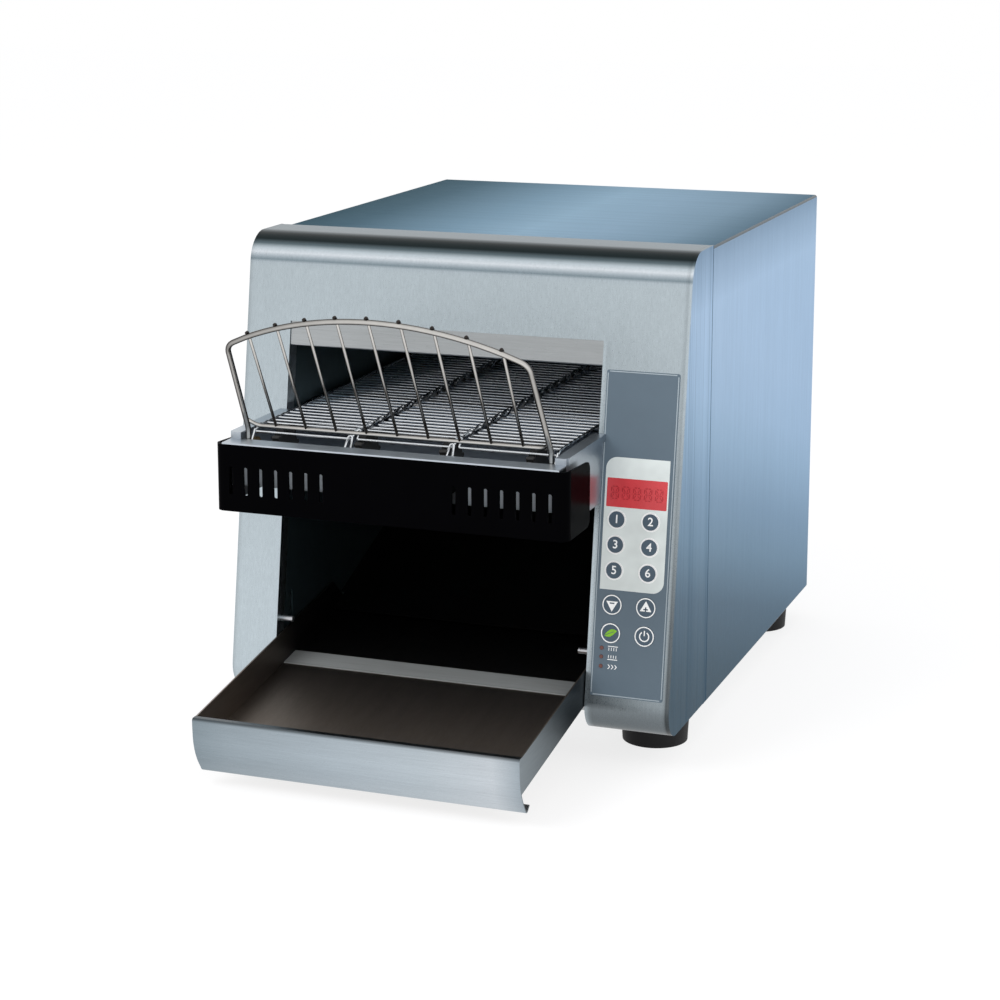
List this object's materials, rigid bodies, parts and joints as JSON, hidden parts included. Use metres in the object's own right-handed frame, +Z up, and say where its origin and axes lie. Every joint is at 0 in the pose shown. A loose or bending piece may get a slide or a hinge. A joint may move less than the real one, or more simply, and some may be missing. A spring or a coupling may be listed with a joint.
{
  "type": "conveyor toaster",
  "caption": "Counter-top conveyor toaster: wire belt through a heated chamber, hinged wire loading rack, sliding discharge tray and a slanted control column.",
  "frame": {"origin": "on the table, under the centre of the whole toaster's bounding box", "axes": "+X to the right as seen from the front, +Y to the rear, +Z up"},
  "size_m": [0.373, 0.6355, 0.403],
  "materials": {
    "belt_wire": "stainless wire",
    "black_enamel": "gloss black enamel on steel",
    "black_oxide": "black oxide",
    "board_green": "circuit board",
    "bright_steel": "bright steel",
    "bright_wire": "bright nickel-plated wire",
    "bronze": "sintered bronze",
    "ceramic": "off-white ceramic",
    "chain_steel": "oiled steel",
    "chamber_steel": "plain stainless",
    "foot_rubber": "black rubber",
    "galvanised": "galvanised sheet",
    "key_slate": "slate blue-grey",
    "lamp_clear": "clear",
    "motor_black": "satin black",
    "overlay_slate": "slate blue-grey polyester overlay",
    "quartz": "translucent quartz",
    "reflector": "bright aluminised sheet",
    "stainless_front": "brushed stainless, vertical grain",
    "stainless_wrap": "brushed stainless, bluish grey",
    "switch_black": "black moulding",
    "window_red": "red window",
    "zinc": "zinc-plated"
  },
  "bodies": {
    "housing": {"base_pan": "galvanised", "belt": "belt_wire", "belt_rods": "bright_steel", "board_standoffs": "zinc", "body_wrap": "stainless_wrap", "chamber_roof": "galvanised", "control_board": "board_green", "control_overlay": "overlay_slate", "conveyor_frame": "bright_steel", "cord_gland": "switch_black", "deflector": "chamber_steel", "discharge_chute": "chamber_steel", "display_window": "window_red", "dome_switches": "switch_black", "drive_bearings": "bronze", "drive_chain": "chain_steel", "fan_guard": "zinc", "fan_housing": "switch_black", "feet": "foot_rubber", "foot_screws": "zinc", "front_cover": "black_enamel", "front_panel": "stainless_front", "gearbox": "motor_black", "guide_studs": "bright_steel", "heating_tubes": "quartz", "idler_bushes": "bronze", "indicator_lamps": "lamp_clear", "left_wall": "chamber_steel", "lower_reflector": "reflector", "motor": "motor_black", "motor_bracket": "galvanised", "nose_frame": "bright_steel", "panel_screws": "zinc", "rear_panel": "stainless_wrap", "relays": "switch_black", "right_wall": "chamber_steel", "terminal_block": "switch_black", "thermostat": "zinc", "tube_ceramics": "ceramic", "upper_reflector": "reflector"},
    "belt_drive": {"drive_shaft": "bright_steel", "drive_sprockets": "black_oxide", "chain_wheel": "black_oxide"},
    "belt_idler": {"idler_shaft": "bright_steel", "idler_sprockets": "black_oxide"},
    "motor_output": {"motor_sprocket": "black_oxide"},
    "fan": {"fan_rotor": "switch_black"},
    "rack": {"loading_rack": "bright_wire"},
    "tray": {"product_tray": "stainless_front"},
    "key_1_cap": {"key_1": "key_slate"},
    "key_2_cap": {"key_2": "key_slate"},
    "key_3_cap": {"key_3": "key_slate"},
    "key_4_cap": {"key_4": "key_slate"},
    "key_5_cap": {"key_5": "key_slate"},
    "key_6_cap": {"key_6": "key_slate"},
    "key_down_cap": {"key_down": "key_slate"},
    "key_up_cap": {"key_up": "key_slate"},
    "key_eco_cap": {"key_eco": "key_slate"},
    "key_power_cap": {"key_power": "key_slate"}
  },
  "joints": [
    {"name": "drive_spin", "type": "hinge", "parent": "housing", "child": "belt_drive", "pos_m": [-0.015, 0.15715, 0.243], "axis": [-1, 0, 0], "continuous": true, "deforming": ["belt", "drive_chain"]},
    {"name": "idler_spin", "type": "hinge", "parent": "housing", "child": "belt_idler", "pos_m": [-0.015, -0.20325, 0.243], "axis": [-1, 0, 0], "continuous": true},
    {"name": "motor_spin", "type": "hinge", "parent": "housing", "child": "motor_output", "pos_m": [0.1306, 0.11076, 0.12819], "axis": [-1, 0, 0], "continuous": true},
    {"name": "fan_spin", "type": "hinge", "parent": "housing", "child": "fan", "pos_m": [0.1522, 0.29585, 0.32], "axis": [0, 1, 0], "continuous": true},
    {"name": "rack_hinge", "type": "hinge", "parent": "housing", "child": "rack", "pos_m": [-0.015, -0.22595, 0.254], "axis": [-1, 0, 0], "range_deg": [0, 30]},
    {"name": "tray_slide", "type": "slide", "parent": "housing", "child": "tray", "axis": [0, -0.9895, -0.1444], "range_m": [0, 0.055]},
    {"name": "key_1_press", "type": "slide", "parent": "housing", "child": "key_1_cap", "axis": [0, 0.9889, -0.1483], "range_m": [0, 0.0004], "stiffness_N_per_m": 1500},
    {"name": "key_2_press", "type": "slide", "parent": "housing", "child": "key_2_cap", "axis": [0, 0.9889, -0.1483], "range_m": [0, 0.0004], "stiffness_N_per_m": 1500},
    {"name": "key_3_press", "type": "slide", "parent": "housing", "child": "key_3_cap", "axis": [0, 0.9889, -0.1483], "range_m": [0, 0.0004], "stiffness_N_per_m": 1500},
    {"name": "key_4_press", "type": "slide", "parent": "housing", "child": "key_4_cap", "axis": [0, 0.9889, -0.1483], "range_m": [0, 0.0004], "stiffness_N_per_m": 1500},
    {"name": "key_5_press", "type": "slide", "parent": "housing", "child": "key_5_cap", "axis": [0, 0.9889, -0.1483], "range_m": [0, 0.0004], "stiffness_N_per_m": 1500},
    {"name": "key_6_press", "type": "slide", "parent": "housing", "child": "key_6_cap", "axis": [0, 0.9889, -0.1483], "range_m": [0, 0.0004], "stiffness_N_per_m": 1500},
    {"name": "key_down_press", "type": "slide", "parent": "housing", "child": "key_down_cap", "axis": [0, 0.9889, -0.1483], "range_m": [0, 0.0004], "stiffness_N_per_m": 1500},
    {"name": "key_up_press", "type": "slide", "parent": "housing", "child": "key_up_cap", "axis": [0, 0.9889, -0.1483], "range_m": [0, 0.0004], "stiffness_N_per_m": 1500},
    {"name": "key_eco_press", "type": "slide", "parent": "housing", "child": "key_eco_cap", "axis": [0, 0.9889, -0.1483], "range_m": [0, 0.0004], "stiffness_N_per_m": 1500},
    {"name": "key_power_press", "type": "slide", "parent": "housing", "child": "key_power_cap", "axis": [0, 0.9889, -0.1483], "range_m": [0, 0.0004], "stiffness_N_per_m": 1500}
  ],
  "couplings": [
    {"joint": "idler_spin", "follows": "drive_spin", "ratio": 1},
    {"joint": "motor_spin", "follows": "drive_spin", "ratio": 1}
  ]
}
